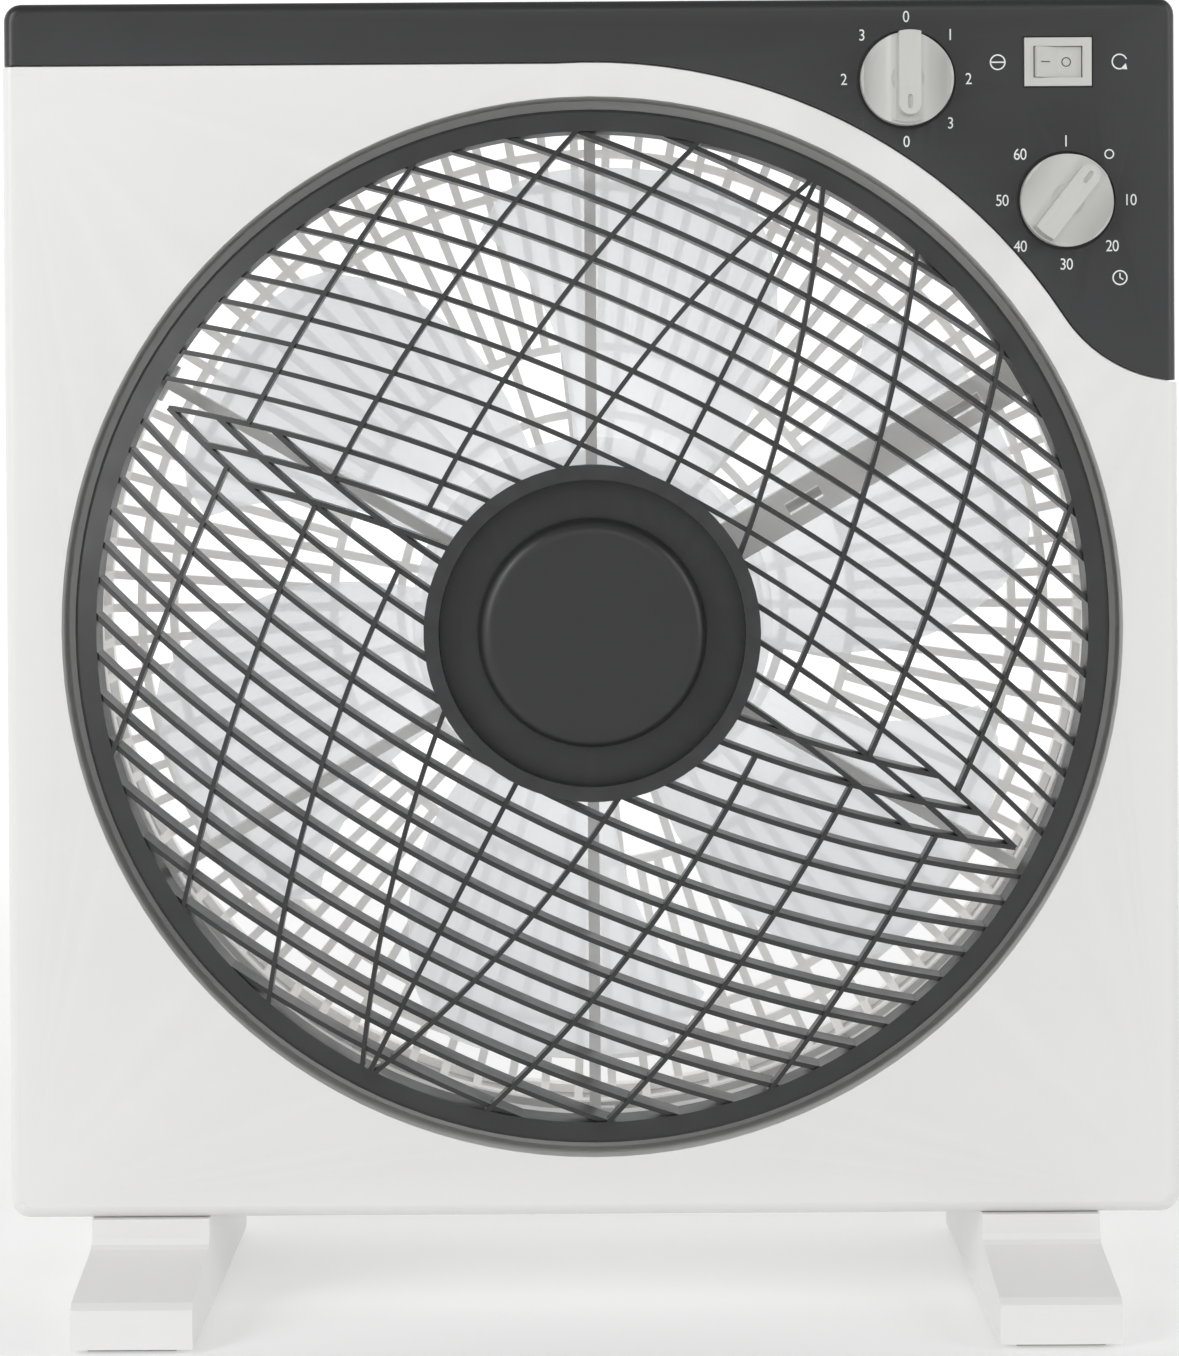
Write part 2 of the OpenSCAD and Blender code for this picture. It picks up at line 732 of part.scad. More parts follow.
module housing_screws() color(steel) fan_frame() corner_places() {
    rod(70, 73, 3.8);
    rod(42, 71, 1.9);
}

module panel_screws() color(steel) fan_frame() panel_places() {
    rod(29, 31, 2.8);
    rod(12, 30, 1.35);
}

module foot_screws() color(steel) fan_frame() foot_screw_places() rotate([-90, 0, 0]) {
    translate([0, 0, -15.8]) cylinder(r = 4, h = 2.8);
    translate([0, 0, -14]) cylinder(r = 1.8, h = 24);
}

module grille_screws() color(steel) fan_frame() {
    for (a = [0:60:300]) polar(grille_screw_r, a) {
        rod(basket_front - 4.8, basket_front - 3, 2.2);
        rod(basket_front - 4, basket_front + 3.5, 1.2);
    }
}

module bracket_screws() color(steel) fan_frame() {
    for (a = [30:60:330]) polar(157.5, a) {
        rod(19, 20.8, 3);
        rod(ledge_t + 0.5, 20, 1.6);
    }
}

// Blade surface: u runs from the hub to the tip, v from the leading to the trailing edge
function tip_share(v) = 1 - tip_round * pow(abs(2 * v - 1), 5);
function blade_radius(u, v) = hub_r - 2 + (blade_r - hub_r + 2) * u * tip_share(v);
function blade_angle(u, v) = -4 + 14 * u * u + (46 - 4 * u) * v - 26;
function blade_depth(u, v) = 49 + (33 - 3 * u) * v + 5 * sin(180 * v) * (0.6 + 0.4 * u);
function blade_point(u, v, lift) = let (r = blade_radius(u, v), a = blade_angle(u, v))
    [r * cos(a), r * sin(a), blade_depth(u, v) + lift];
blade_rows = 8;
blade_cols = 12;
blade_t = 1.9;
tip_round = 0.16;

module blade() {
    n = (blade_rows + 1) * (blade_cols + 1);
    function id(side_no, i, j) = side_no * n + i * (blade_cols + 1) + j;
    points = [for (s = [0, 1], i = [0:blade_rows], j = [0:blade_cols])
        blade_point(i / blade_rows, j / blade_cols, s * blade_t)];
    cells = [for (i = [0:blade_rows - 1], j = [0:blade_cols - 1]) [i, j]];
    front = [for (c = cells) let (i = c[0], j = c[1]) each [
        [id(0, i, j), id(0, i + 1, j + 1), id(0, i, j + 1)],
        [id(0, i, j), id(0, i + 1, j), id(0, i + 1, j + 1)]]];
    back = [for (c = cells) let (i = c[0], j = c[1]) each [
        [id(1, i, j), id(1, i, j + 1), id(1, i + 1, j + 1)],
        [id(1, i, j), id(1, i + 1, j + 1), id(1, i + 1, j)]]];
    edges = [for (i = [0:blade_rows - 1]) each [
        [id(0, i, 0), id(1, i, 0), id(1, i + 1, 0), id(0, i + 1, 0)],
        [id(0, i, blade_cols), id(0, i + 1, blade_cols), id(1, i + 1, blade_cols), id(1, i, blade_cols)]]];
    ends = [for (j = [0:blade_cols - 1]) each [
        [id(0, 0, j), id(0, 0, j + 1), id(1, 0, j + 1), id(1, 0, j)],
        [id(0, blade_rows, j), id(1, blade_rows, j), id(1, blade_rows, j + 1), id(0, blade_rows, j + 1)]]];
    polyhedron(points, concat(front, back, edges, ends));
}

module impeller() color(milky) fan_frame() {
    difference() {
        union() {
            for (i = [0:blade_count - 1]) rotate([0, 0, i * 360 / blade_count + 20]) blade();
            tube(51, 84, hub_r, hub_r - 2.5);
            rod(51, 53.5, hub_r);
            rod(49, 60, 10);
            for (a = [0:60:300]) rotate([0, 0, a]) block(9, hub_r - 1, -1, 1, 53, 57);
        }
        rod(48, 61, axle_r + 0.05);
        block(-8.1, 8.1, -1.6, 1.6, 57.3, 61);
    }
}

module motor_shaft() color(steel) fan_frame() difference() {
    rod(46, motor_back - 2, axle_r);
    at_t(59) rotate([0, 90, 0]) cylinder(r = 1.45, h = 20, center = true);
}

module drive_pin() color(steel) fan_frame() at_t(59) rotate([0, 90, 0])
    cylinder(r = 1.4, h = 15.6, center = true);

module blade_nut() color(dark) fan_frame() difference() {
    union() {
        rod(45, 48.8, 11);
        for (a = [0:30:330]) polar(10.6, a) rod(45.4, 48.8, 1.2);
    }
    rod(45.9, 50, axle_r + 0.05);
}

module rotor() color(steel) fan_frame() {
    tube(74.5, 97.5, 21.9, axle_r + 0.03);
}

// Louver grille: a shallow dome of two families of concentric slats, each family centred
// outside the ring on opposite sides; each slat ends where the other family begins
louver_centre = [212, 402];
louver_dist = norm(louver_centre);
louver_dir = atan2(louver_centre[1], louver_centre[0]);
border_r = 477;
ring_in_r = 150.7;
ring_back = 11.5;
ring_slope = 0.3;
slat_deep = 10;
rib_deep = 4.5;
rib_proud = 0.5;
hub_front = -24.5;
hub_floor = -18.5;
screw_seat = -1.5;
cap_round = 5;

// Sphere that carries the front edges of the slats
dome_r = (ring_in_r * ring_in_r + dome_rise * dome_rise) / (2 * dome_rise);

// Layer of the dome between two depths behind its front surface
module dome_layer(front, back) {
    at_t(1 - dome_rise + dome_r) difference() {
        sphere(dome_r - front, $fn = fine_fn);
        sphere(dome_r - back, $fn = fine_fn);
    }
}

// Half angle at which a circle of radius p about the family centre meets a circle of radius q
// about the point at distance d
function meet(p, q, d) = acos(min(1, max(-1, (p * p + d * d - q * q) / (2 * p * d))));

module arc_bar(r, a0, a1, thick, t0, t1) {
    rotate([0, 0, a0]) rotate_extrude(angle = a1 - a0, $fn = 720)
        translate([r - thick / 2, t0]) square([thick, t1 - t0]);
}

module slat_family(t0, t1) {
    translate([-louver_centre[0], -louver_centre[1], 0]) for (k = [-2:14]) {
        p = border_r + k * slat_pitch;
        outer = min(meet(p, ring_in_r + 1, louver_dist), meet(p, border_r, 2 * louver_dist));
        inner = abs(p - louver_dist) < louver_hub_r - 2 ? meet(p, louver_hub_r - 1, louver_dist) : 0;
        if (inner > 0) {
            arc_bar(p, louver_dir + inner, louver_dir + outer, slat_t, t0, t1);
            arc_bar(p, louver_dir - outer, louver_dir - inner, slat_t, t0, t1);
        } else {
            arc_bar(p, louver_dir - outer, louver_dir + outer, slat_t, t0, t1);
        }
    }
}

// Cross ribs: each is an arc through three points
cross_ribs = [
    [[-50.4, 145.1], [-78.6, 104], [-103.2, 62.7]],
    [[-3.3, 151.5], [-44.8, 99], [-77.1, 46.5]],
    [[34.3, 148.4], [-14.5, 91.5], [-48.4, 36.8]],
    [[67.4, 135.6], [29, 97.4], [-8.4, 47.9]],
    [[68.8, 135.4], [50, 97.5], [21.8, 42.7]],
    [[71, 134.2], [63.8, 90], [43.1, 20.8]],
    [[99.5, 115], [83.7, 48], [57.4, -18.9]],
    [[125.5, 86.5], [107.2, 24], [82.5, -37.9]],
    [[147.2, 40], [128.8, -5], [109.6, -49.7]]
];

function circle_centre(a, b, c) = let (
    d = 2 * (a[0] * (b[1] - c[1]) + b[0] * (c[1] - a[1]) + c[0] * (a[1] - b[1])),
    a2 = a * a, b2 = b * b, c2 = c * c)
    [(a2 * (b[1] - c[1]) + b2 * (c[1] - a[1]) + c2 * (a[1] - b[1])) / d,
        (a2 * (c[0] - b[0]) + b2 * (a[0] - c[0]) + c2 * (b[0] - a[0])) / d];
function bearing_of(v) = atan2(v[1], v[0]);
function turn_between(a, b) = let (d = b - a) d > 180 ? d - 360 : d < -180 ? d + 360 : d;

module cross_rib(p, t0, t1) {
    c = circle_centre(p[0], p[1], p[2]);
    a0 = bearing_of(p[0] - c);
    sweep = turn_between(a0, bearing_of(p[2] - c));
    translate([c[0], c[1], 0])
        arc_bar(norm(p[0] - c), min(a0, a0 + sweep), max(a0, a0 + sweep), rib_t, t0, t1);
}

// Ring whose front falls away outwards, as the dome does
module louver_ring() {
    rotate_extrude($fn = fine_fn) polygon([
        [ring_in_r, 0.4], [ring_r - 1, 0.4 + ring_slope * (ring_r - 1 - ring_in_r)],
        [ring_r, 3.4], [ring_r, ring_back], [ring_in_r, ring_back]
    ]);
}

module louver_grille() color(dark) fan_frame() {
    difference() {
        union() {
            louver_ring();
            intersection() {
                dome_layer(0, slat_deep);
                union() for (i = [0, 1]) rotate([0, 0, 180 * i]) slat_family(-32 - i, 15 + i);
            }
            intersection() {
                dome_layer(-rib_proud, rib_deep);
                union() for (i = [0, 1], k = [0:len(cross_ribs) - 1])
                    rotate([0, 0, 180 * i]) cross_rib(cross_ribs[k], -32 - k - i / 2, 15 + k + i / 2);
            }
            tube(hub_front, -9, louver_hub_r, louver_hub_r - 4.4);
            rod(hub_floor, hub_floor + 2.5, louver_hub_r - 1);
            rod(hub_floor + 1, 13.5, 8);
            for (a = [0:60:300]) rotate([0, 0, a])
                block(7, louver_hub_r - 2, -1, 1, hub_floor + 1, hub_floor + 8);
        }
        rod(2, 14, louver_shaft_r + 0.04);
        rod(hub_floor - 1, 3, 1.8);
        rod(hub_floor - 1, screw_seat, 4.6);
        for (a = [30:120:270]) polar(28, a) rod(hub_floor - 1, hub_floor + 4, 2.2);
    }
}

module hub_cap() color(dark) fan_frame() {
    difference() {
        union() {
            at_t(hub_front - 1) round_puck(34, cap_round);
            rod(hub_front - 1 + cap_round, hub_floor, 34);
            for (a = [30:120:270]) polar(28, a) rod(hub_floor - 1, hub_floor + 5, 2);
        }
        rod(hub_front + 1, hub_floor + 0.1, 22);
    }
}

module hub_screw() color(steel) fan_frame() {
    rod(screw_seat - 2.2, screw_seat, 4);
    rod(screw_seat - 1, 10, 1.7);
}

module louver_shaft() color(steel) fan_frame() difference() {
    rod(2.1, 33.5, louver_shaft_r);
    rod(2, 11, 1.75);
}

front_housing();
control_panel();
rear_housing();
rear_grille();
louver_bracket();
foot_left();
foot_right();
foot_pads();
motor_front_shell();
motor_rear_shell();
stator_core();
stator_coils();
bearing_front();
bearing_rear();
motor_tie_screws();
motor_mount_screws();
louver_motor_case();
louver_motor_cover();
louver_motor_screws();
cover_screws();
speed_switch();
speed_switch_nut();
timer_case();
timer_nut();
rocker_frame();
capacitor();
terminal_block();
cord_gland();
supply_lead();
fan_motor_lead();
louver_motor_lead();
lead_clips();
housing_screws();
panel_screws();
foot_screws();
grille_screws();
bracket_screws();
impeller();
motor_shaft();
rotor();
blade_nut();
drive_pin();
louver_grille();
hub_cap();
hub_screw();
louver_shaft();
speed_knob();
speed_shaft();
timer_knob();
timer_shaft();
rocker_button();
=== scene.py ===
import json
import math

import bmesh
import bpy
from mathutils import Matrix, Vector
from mathutils.bvhtree import BVHTree


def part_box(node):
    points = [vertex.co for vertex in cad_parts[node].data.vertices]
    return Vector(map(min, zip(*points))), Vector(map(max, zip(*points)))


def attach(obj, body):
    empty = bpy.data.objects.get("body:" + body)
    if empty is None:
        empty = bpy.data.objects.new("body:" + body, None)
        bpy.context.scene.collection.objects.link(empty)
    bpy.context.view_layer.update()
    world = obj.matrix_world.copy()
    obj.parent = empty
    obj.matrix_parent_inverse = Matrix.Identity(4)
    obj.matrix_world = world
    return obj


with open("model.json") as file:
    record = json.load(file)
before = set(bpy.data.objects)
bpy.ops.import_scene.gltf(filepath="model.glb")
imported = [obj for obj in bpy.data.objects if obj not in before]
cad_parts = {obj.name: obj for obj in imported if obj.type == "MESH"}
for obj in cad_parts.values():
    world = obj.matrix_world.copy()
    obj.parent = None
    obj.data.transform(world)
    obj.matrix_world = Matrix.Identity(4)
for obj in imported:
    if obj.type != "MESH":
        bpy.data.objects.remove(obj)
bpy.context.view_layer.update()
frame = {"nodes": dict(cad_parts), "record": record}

MM = 0.001


# ---------------------------------------------------------------- node helpers
class Shader:
    """A material's node tree with short ways to add and join nodes."""

    def __init__(self, name):
        self.material = bpy.data.materials.new(name)
        self.material.use_nodes = True
        self.tree = self.material.node_tree
        self.bsdf = self.tree.nodes["Principled BSDF"]
        self.place = self.add("ShaderNodeTexCoord").outputs["Object"]

    def add(self, kind, **values):
        node = self.tree.nodes.new(kind)
        for key, value in values.items():
            if hasattr(node, key):
                setattr(node, key, value)
            else:
                node.inputs[key.replace("_", " ")].default_value = value
        return node

    def join(self, output, socket):
        self.tree.links.new(output, socket)

    def set(self, **values):
        for key, value in values.items():
            self.bsdf.inputs[key.replace("_", " ")].default_value = value

    def stretched(self, scale):
        mapping = self.add("ShaderNodeMapping")
        mapping.inputs["Scale"].default_value = scale
        self.join(self.place, mapping.inputs["Vector"])
        return mapping.outputs["Vector"]

    def noise(self, scale, detail=3.0, rough=0.55, place=None):
        node = self.add("ShaderNodeTexNoise", Scale=scale, Detail=detail, Roughness=rough)
        self.join(place or self.place, node.inputs["Vector"])
        return node.outputs["Fac"]

    def ranged(self, value, low, high, start=0.3, end=0.7):
        node = self.add("ShaderNodeMapRange", From_Min=start, From_Max=end, To_Min=low, To_Max=high)
        self.join(value, node.inputs["Value"])
        return node.outputs["Result"]

    def blend(self, factor, first, second):
        node = self.add("ShaderNodeMix", data_type="RGBA")
        self.join(factor, node.inputs["Factor"])
        for socket, value in ((node.inputs[6], first), (node.inputs[7], second)):
            if isinstance(value, tuple):
                socket.default_value = (*value, 1)
            else:
                self.join(value, socket)
        return node.outputs[2]

    def bump(self, height, distance, strength=1.0, under=None):
        node = self.add("ShaderNodeBump", Strength=strength, Distance=distance)
        self.join(height, node.inputs["Height"])
        if under:
            self.join(under, node.inputs["Normal"])
        return node.outputs["Normal"]

    def edges(self, low, high):
        """0 on flat faces and 1 on convex edges, where handling wears the surface."""
        pointed = self.add("ShaderNodeNewGeometry").outputs["Pointiness"]
        return self.ranged(pointed, 0.0, 1.0, low, high)


def shade(colour, factor):
    return tuple(min(1.0, c * factor) for c in colour)


def plastic(name, colour, rough, grain=0.02, grain_scale=2600.0, mottle=0.03, wear=1.12, glow=0.0):
    """Moulded plastic: fine spark texture, faint flow marks, rubbed edges. Glow is given per material."""
    s = Shader(name)
    flow = s.noise(22.0, detail=4.0, place=s.stretched((1.0, 1.0, 2.2)))
    dust = s.noise(420.0, detail=2.0)
    base = s.blend(s.ranged(flow, 0.0, 1.0), shade(colour, 1 - mottle), shade(colour, 1 + mottle))
    speck = s.blend(s.ranged(dust, 0.0, 0.25, 0.62, 0.8), base, shade(colour, 0.9))
    rubbed = s.blend(s.edges(0.52, 0.62), speck, shade(colour, wear))
    s.join(rubbed, s.bsdf.inputs["Base Color"])
    s.join(s.ranged(s.noise(60.0), rough - 0.05, rough + 0.06), s.bsdf.inputs["Roughness"])
    fine = s.bump(s.noise(grain_scale, detail=1.0), grain * MM, 0.6)
    s.join(s.bump(flow, 0.05 * MM, 0.25, under=fine), s.bsdf.inputs["Normal"])
    # Glow is painted light: the plastic gives off its own colour whatever lamps reach it.
    s.set(Emission_Color=(*colour, 1), Emission_Strength=glow)
    return s.material


def milky(name, colour, through):
    """Translucent polypropylene: it scatters what passes through, with cloudy flow lines. Its faint glow is
    painted light that stands in for light shining through from behind.
    """
    s = Shader(name)
    cloud = s.noise(30.0, detail=4.0)
    s.join(s.blend(s.ranged(cloud, 0.0, 1.0), shade(colour, 0.97), shade(colour, 1.01)),
           s.bsdf.inputs["Base Color"])
    s.join(s.ranged(cloud, 0.40, 0.50), s.bsdf.inputs["Roughness"])
    s.join(s.bump(cloud, 0.12 * MM, 0.3), s.bsdf.inputs["Normal"])
    s.set(Transmission_Weight=through, IOR=1.2, Alpha=0.55)
    # Painted light: the blades glow faintly in their own colour, as if lit through from behind.
    s.set(Emission_Color=(*colour, 1), Emission_Strength=0.22)
    return s.material


def metal(name, colour, rough, stretch=(1.0, 1.0, 1.0), scale=900.0, groove=0.01):
    """Turned, rolled or stacked metal: directional lines and small stains."""
    s = Shader(name)
    lines = s.noise(scale, detail=2.0, place=s.stretched(stretch))
    stain = s.noise(55.0, detail=5.0)
    base = s.blend(s.ranged(stain, 0.0, 1.0), shade(colour, 0.86), shade(colour, 1.06))
    s.join(s.blend(s.edges(0.52, 0.6), base, shade(colour, 1.25)), s.bsdf.inputs["Base Color"])
    s.join(s.ranged(lines, rough - 0.08, rough + 0.1), s.bsdf.inputs["Roughness"])
    s.join(s.bump(lines, groove * MM, 0.5), s.bsdf.inputs["Normal"])
    s.set(Metallic=1.0)
    return s.material


def rubber(name, colour, rough):
    s = Shader(name)
    bloom = s.noise(40.0, detail=4.0)
    s.join(s.blend(s.ranged(bloom, 0.0, 1.0), shade(colour, 0.8), shade(colour, 1.35)),
           s.bsdf.inputs["Base Color"])
    s.join(s.ranged(bloom, rough - 0.06, rough + 0.06), s.bsdf.inputs["Roughness"])
    s.join(s.bump(s.noise(1500.0, detail=1.0), 0.03 * MM, 0.6), s.bsdf.inputs["Normal"])
    return s.material


def winding(name, colour):
    """Enamelled copper wire: close turns round the motor's axis."""
    s = Shader(name)
    turns = s.add("ShaderNodeTexWave", wave_type="RINGS", rings_direction="Y", Scale=260.0, Distortion=1.5)
    s.join(s.place, turns.inputs["Vector"])
    fac = turns.outputs["Fac"]
    s.join(s.blend(fac, shade(colour, 0.55), shade(colour, 1.1)), s.bsdf.inputs["Base Color"])
    s.join(s.bump(fac, 0.15 * MM, 0.8), s.bsdf.inputs["Normal"])
    s.set(Metallic=0.85, Roughness=0.34)
    return s.material


def ink(name, colour):
    """Screen-printed ink: slightly uneven cover."""
    s = Shader(name)
    cover = s.noise(700.0, detail=2.0)
    s.join(s.blend(s.ranged(cover, 0.0, 1.0), shade(colour, 0.93), colour), s.bsdf.inputs["Base Color"])
    s.join(s.ranged(cover, 0.5, 0.62), s.bsdf.inputs["Roughness"])
    s.join(s.bump(cover, 0.01 * MM, 0.5), s.bsdf.inputs["Normal"])
    return s.material


# ---------------------------------------------------------------- materials
LOOKS = {
    "white_plastic": plastic("white_plastic", (0.80, 0.797, 0.788), 0.36,
                             grain=0.012, mottle=0.008, wear=1.06),
    "dark_plastic": plastic("dark_plastic", (0.024, 0.0243, 0.0255), 0.36,
                            grain=0.008, mottle=0.05, wear=1.5),
    # The grille's glow is painted light: it brightens the ribs and arms deep in the housing, where the
    # housing shades them.
    "grille_plastic": plastic("grille_plastic", (0.90, 0.89, 0.87), 0.5, grain=0.02, mottle=0.03, glow=0.12),
    "cream_plastic": plastic("cream_plastic", (0.58, 0.58, 0.555), 0.38, grain=0.01, mottle=0.012, wear=1.05),
    "inner_plastic": plastic("inner_plastic", (0.10, 0.10, 0.11), 0.55, grain=0.03),
    "clear_plastic": milky("clear_plastic", (0.94, 0.95, 0.965), 0.2),
    "rubber": rubber("rubber", (0.05, 0.05, 0.05), 0.8),
    "lead_sheath": rubber("lead_sheath", (0.55, 0.55, 0.54), 0.6),
    "copper": winding("copper", (0.72, 0.38, 0.20)),
    "bearing_bronze": metal("bearing_bronze", (0.70, 0.52, 0.28), 0.42),
    "lamination_steel": metal("lamination_steel", (0.45, 0.46, 0.48), 0.45, (0.05, 2.5, 0.05), 800.0, 0.05),
    "motor_steel": metal("motor_steel", (0.60, 0.61, 0.62), 0.36),
    "screw_steel": metal("screw_steel", (0.62, 0.63, 0.65), 0.3),
    "shaft_steel": metal("shaft_steel", (0.70, 0.71, 0.73), 0.2, (0.1, 1.0, 0.1)),
}
PALE_INK = ink("pale_ink", (0.86, 0.87, 0.87))
BLACK_INK = ink("black_ink", (0.03, 0.03, 0.03))


def round_over(obj, width, angle=40, segments=2):
    """Small round on the moulded edges."""
    bevel = obj.modifiers.new("edge_round", "BEVEL")
    bevel.width = width
    bevel.segments = segments
    bevel.limit_method = "ANGLE"
    bevel.angle_limit = math.radians(angle)
    bevel.use_clamp_overlap = True
    bevel.harden_normals = True


ROUNDED = {
    "front_housing": 1.2, "rear_housing": 1.2, "control_panel": 0.6, "foot_left": 1.5, "foot_right": 1.5,
    "speed_knob": 0.35, "timer_knob": 0.35, "rocker_frame": 0.3, "rocker_button": 0.3,
}


def dress_frame():
    for part in frame["record"]["subparts"]:
        obj = frame["nodes"][part["node"]]
        obj.data.materials.clear()
        obj.data.materials.append(LOOKS[part["material_slot"]])
        obj.data.shade_smooth()
        obj.data.set_sharp_from_angle(angle=math.radians(32))
        if part["node"] in ROUNDED:
            round_over(obj, ROUNDED[part["node"]] * MM)


# ---------------------------------------------------------------- printed marks
class Print:
    """Flat marks drawn in x and z, then laid on the front of a CAD node."""

    def __init__(self, name, node, body, material, slot):
        self.name, self.node, self.body = name, node, body
        self.material, self.slot = material, slot
        self.mesh = bmesh.new()

    def number(self, text, x, z, height):
        curve = bpy.data.curves.new(self.name + "_digits", "FONT")
        curve.body = text
        curve.align_x, curve.align_y = "CENTER", "CENTER"
        curve.size = height / 0.73
        curve.space_character = 0.92
        curve.resolution_u = 4
        digits = bpy.data.objects.new(curve.name, curve)
        bpy.context.collection.objects.link(digits)
        bpy.context.view_layer.update()
        flat = bpy.data.meshes.new_from_object(digits)
        upright = Matrix.Rotation(math.pi / 2, 4, "X") @ Matrix.Diagonal((0.88, 1, 1, 1))
        flat.transform(Matrix.Translation((x, 0, z)) @ upright)
        self.mesh.from_mesh(flat)
        bpy.data.objects.remove(digits)
        bpy.data.meshes.remove(flat)

    def strip(self, points, width, closed=False):
        """A line of constant width through points (x, z)."""
        count = len(points)
        rows = []
        for i, point in enumerate(points):
            before = points[i - 1] if closed or i else point
            after = points[(i + 1) % count] if closed or i < count - 1 else point
            along = (Vector(after) - Vector(before)).normalized()
            across = Vector((-along.y, along.x)) * width / 2
            rows.append([self.mesh.verts.new((point[0] + k * across.x, 0, point[1] + k * across.y))
                         for k in (-1, 1)])
        for i in range(count if closed else count - 1):
            a, b = rows[i], rows[(i + 1) % count]
            self.mesh.faces.new((a[0], b[0], b[1], a[1]))

    def arc(self, x, z, radius, start, end, width, steps=28):
        turns = [math.radians(start + (end - start) * i / steps) for i in range(steps + 1)]
        closed = abs(end - start) >= 360
        points = [(x + radius * math.cos(a), z + radius * math.sin(a)) for a in turns]
        self.strip(points[:-1] if closed else points, width, closed)

    def patch(self, points):
        self.mesh.faces.new([self.mesh.verts.new((x, 0, z)) for x, z in points])

    def lay(self, lift=0.03 * MM, thickness=0.03 * MM):
        surface = frame["nodes"][self.node].data
        tree = BVHTree.FromPolygons([v.co for v in surface.vertices], [p.vertices for p in surface.polygons])
        bmesh.ops.remove_doubles(self.mesh, verts=self.mesh.verts, dist=0.002 * MM)
        bmesh.ops.recalc_face_normals(self.mesh, faces=self.mesh.faces)
        for face in self.mesh.faces:
            if face.normal.y > 0:
                face.normal_flip()
        made = bmesh.ops.extrude_face_region(self.mesh, geom=self.mesh.faces[:])
        front = {v for v in made["geom"] if isinstance(v, bmesh.types.BMVert)}
        for vert in self.mesh.verts:
            hit = tree.ray_cast(Vector((vert.co.x, -1, vert.co.z)), Vector((0, 1, 0)))[0]
            depth = hit.y if hit else vert.co.y
            vert.co.y = depth - (lift + thickness if vert in front else lift)
        bmesh.ops.recalc_face_normals(self.mesh, faces=self.mesh.faces)
        data = bpy.data.meshes.new(self.name)
        self.mesh.to_mesh(data)
        self.mesh.free()
        data.materials.append(self.material)
        obj = bpy.data.objects.new(self.name, data)
        bpy.context.collection.objects.link(obj)
        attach(obj, self.body)
        return obj


def middle(node):
    low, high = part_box(node)
    return (low + high) / 2


def around(centre, radius, bearing):
    """Point at a clockwise bearing from upright."""
    a = math.radians(bearing)
    return centre.x + radius * math.sin(a), centre.z + radius * math.cos(a)


def speed_marks():
    marks = Print("speed_numbers", "control_panel", "housing", PALE_INK, "cream_plastic")
    for i, digit in enumerate("01230123"):
        x, z = around(middle("speed_shaft"), 18.9 * MM, 45 * i)
        marks.number(digit, x, z, 3.6 * MM)
    marks.lay()


def timer_marks():
    marks = Print("timer_numbers", "control_panel", "housing", PALE_INK, "cream_plastic")
    centre = middle("timer_shaft")
    for minutes in range(10, 70, 10):
        x, z = around(centre, (19.4 if minutes % 20 else 19.7) * MM, 90 + 45 * (minutes / 10 - 1))
        marks.number(str(minutes), x, z, 3.6 * MM)
    x, z = around(centre, 18.1 * MM, 0)
    marks.strip([(x, z - 1.7 * MM), (x, z + 1.7 * MM)], 0.42 * MM)
    x, z = around(centre, 19.2 * MM, 43)
    marks.arc(x, z, 1.3 * MM, 0, 360, 0.4 * MM)
    marks.lay()


def symbols():
    """Still and turning grille beside the rocker switch, and a clock under the timer."""
    marks = Print("panel_symbols", "control_panel", "housing", PALE_INK, "cream_plastic")
    switch = middle("rocker_frame")
    line = 0.42 * MM
    x, z = switch.x - 18.2 * MM, switch.z
    marks.arc(x, z, 2.2 * MM, 0, 360, line)
    marks.strip([(x - 2.2 * MM, z), (x + 2.2 * MM, z)], line)
    x = switch.x + 18.7 * MM
    marks.arc(x, z, 2.2 * MM, 20, 310, line)
    tip = math.radians(310)
    ex, ez = x + 2.2 * MM * math.cos(tip), z + 2.2 * MM * math.sin(tip)
    marks.patch([(ex - 1.1 * MM, ez - 0.5 * MM), (ex + 0.9 * MM, ez - 0.7 * MM),
                 (ex + 0.5 * MM, ez + 1.2 * MM)])
    timer = middle("timer_shaft")
    x, z = timer.x + 16.2 * MM, timer.z - 23.4 * MM
    marks.arc(x, z, 2.1 * MM, 0, 360, line)
    marks.strip([(x, z + 1.4 * MM), (x, z), (x + 1.0 * MM, z - 0.6 * MM)], line)
    marks.lay()


def rocker_marks():
    marks = Print("rocker_symbols", "rocker_button", "rocker", BLACK_INK, "dark_plastic")
    switch = middle("rocker_frame")
    marks.strip([(switch.x - 5.2 * MM, switch.z), (switch.x - 2.4 * MM, switch.z)], 0.3 * MM)
    marks.arc(switch.x + 2.6 * MM, switch.z, 1.3 * MM, 0, 360, 0.28 * MM)
    marks.lay()


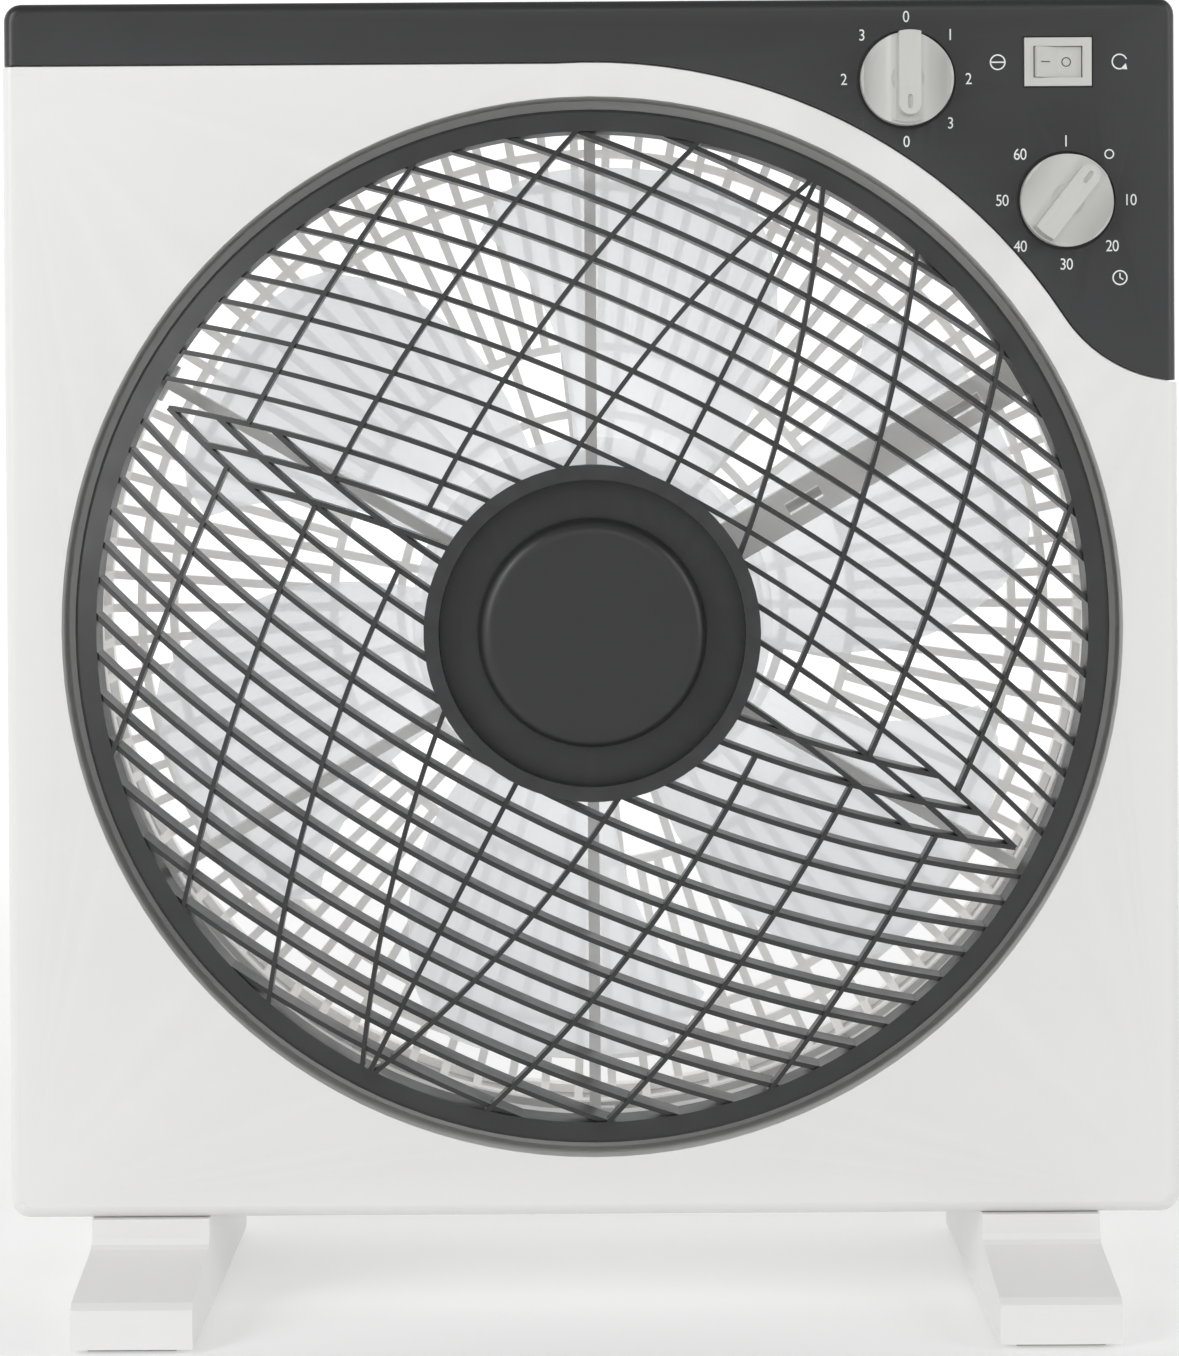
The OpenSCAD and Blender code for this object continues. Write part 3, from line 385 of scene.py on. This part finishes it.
# ---------------------------------------------------------------- studio
def floor():
    """Pale floor that curves up into a round backdrop."""
    radius, bend, height, sides, steps = 3.2, 1.4, 2.5, 96, 16
    profile = [(0.02, 0.0), (0.6, 0.0), (radius - bend, 0.0)]
    for i in range(1, steps + 1):
        a = math.pi / 2 * i / steps
        profile.append((radius - bend + bend * math.sin(a), bend - bend * math.cos(a)))
    profile.append((radius, height))
    mesh = bmesh.new()
    rings = [[mesh.verts.new((r * math.cos(math.tau * k / sides), r * math.sin(math.tau * k / sides), z))
              for k in range(sides)] for r, z in profile]
    mesh.faces.new(rings[0])
    for a, b in zip(rings, rings[1:]):
        for k in range(sides):
            n = (k + 1) % sides
            mesh.faces.new((a[k], b[k], b[n], a[n]))
    bmesh.ops.recalc_face_normals(mesh, faces=mesh.faces)
    data = bpy.data.meshes.new("floor")
    mesh.to_mesh(data)
    mesh.free()
    data.shade_smooth()
    s = Shader("pale_floor")
    tone = s.noise(3.0)
    s.join(s.blend(s.ranged(tone, 0.0, 1.0), (0.72, 0.72, 0.72), (0.74, 0.74, 0.74)),
           s.bsdf.inputs["Base Color"])
    s.set(Roughness=0.9, Emission_Strength=0.62)
    along = s.add("ShaderNodeSeparateXYZ")
    s.join(s.place, along.inputs["Vector"])
    glow = s.ranged(along.outputs["Y"], 0.0, 1.0, -0.6, 1.8)
    s.join(s.blend(glow, (0.3, 0.3, 0.3), (1.0, 1.0, 1.0)), s.bsdf.inputs["Emission Color"])
    data.materials.append(s.material)
    obj = bpy.data.objects.new("floor", data)
    bpy.context.collection.objects.link(obj)


def area_light(name, place, aim, size, watts):
    data = bpy.data.lights.new(name, "AREA")
    data.shape = "RECTANGLE"
    data.size, data.size_y = size
    data.energy = watts
    obj = bpy.data.objects.new(name, data)
    obj.location = place
    obj.rotation_euler = (Vector(aim) - Vector(place)).to_track_quat("-Z", "Y").to_euler()
    bpy.context.collection.objects.link(obj)


def lights():
    world = bpy.data.worlds.new("studio")
    world.use_nodes = True
    world.node_tree.nodes["Background"].inputs["Color"].default_value = (1, 1, 1, 1)
    world.node_tree.nodes["Background"].inputs["Strength"].default_value = 0.3
    bpy.context.scene.world = world
    area_light("key", (-1.5, -1.3, 1.0), (0, 0, 0.2), (0.6, 1.6), 14.5)
    area_light("rim", (1.6, -0.7, 0.9), (0, 0, 0.2), (0.4, 1.6), 6)
    area_light("front", (0.3, -2.4, 1.6), (0, 0, 0.2), (1.6, 0.9), 5)
    area_light("back", (0.2, 2.0, 1.6), (0, 0.3, 0.3), (2.0, 1.2), 3)


def camera():
    data = bpy.data.cameras.new("camera")
    data.sensor_width = 36
    data.lens = 74.38
    data.shift_x, data.shift_y = -0.0039, -0.1553
    data.clip_start = 0.05
    obj = bpy.data.objects.new("camera", data)
    obj.location = (0.0011, -0.8905, 0.2675)
    obj.rotation_euler = (math.radians(90 - 0.68), math.radians(0.347), 0)
    bpy.context.collection.objects.link(obj)
    bpy.context.scene.camera = obj


dress_frame()
speed_marks()
timer_marks()
symbols()
rocker_marks()
floor()
lights()
camera()
bpy.context.scene.view_settings.view_transform = "Standard"
